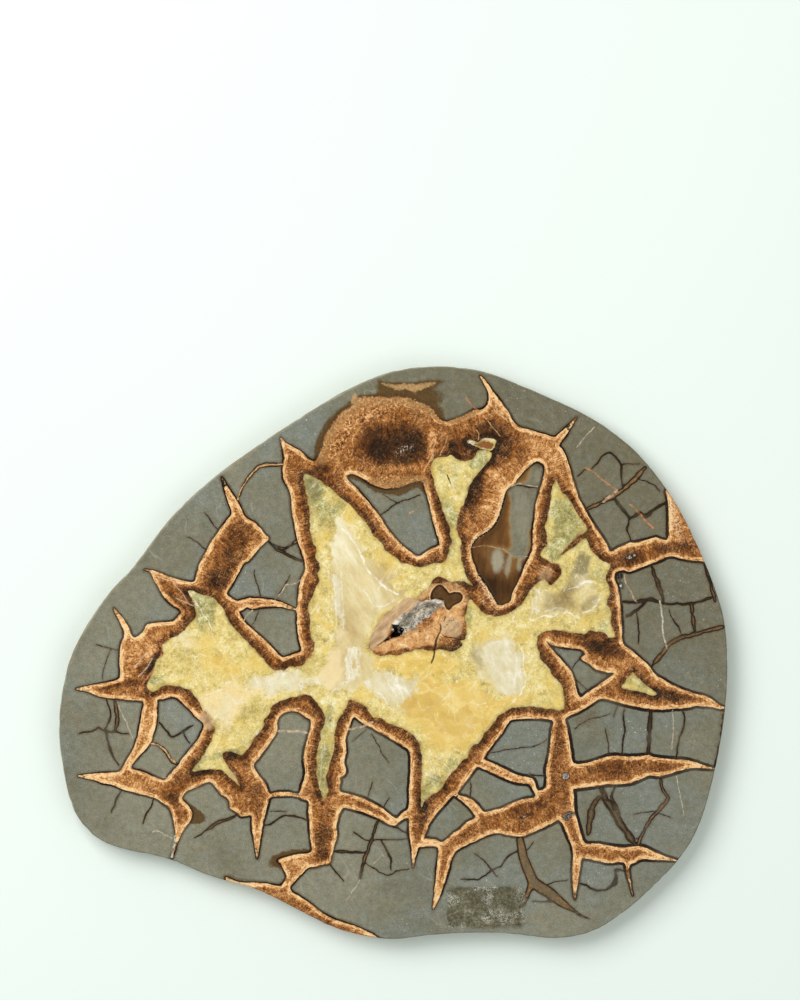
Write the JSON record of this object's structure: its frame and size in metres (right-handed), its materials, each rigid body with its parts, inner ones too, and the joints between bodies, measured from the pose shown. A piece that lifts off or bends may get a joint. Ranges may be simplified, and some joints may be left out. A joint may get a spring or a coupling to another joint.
{
  "type": "septarian nodule slice",
  "caption": "Thin polished slice of a septarian nodule: grey limestone cut by brown-rimmed, crystal-filled cracks, with a rounded natural outline.",
  "frame": {"origin": "middle of the sawn back, on the surface that the slice lies on", "axes": "+X to the right across the polished face, +Y to the top of the face, +Z out of the polished face"},
  "size_m": [0.28, 0.24, 0.012],
  "materials": {
    "septarian_stone": "polished face with softly glossy grey limestone, brown fibrous aragonite and translucent yellow calcite; matt natural skin on the rim"
  },
  "bodies": {
    "root": {"septarian_slice": "septarian_stone"}
  },
  "joints": []
}
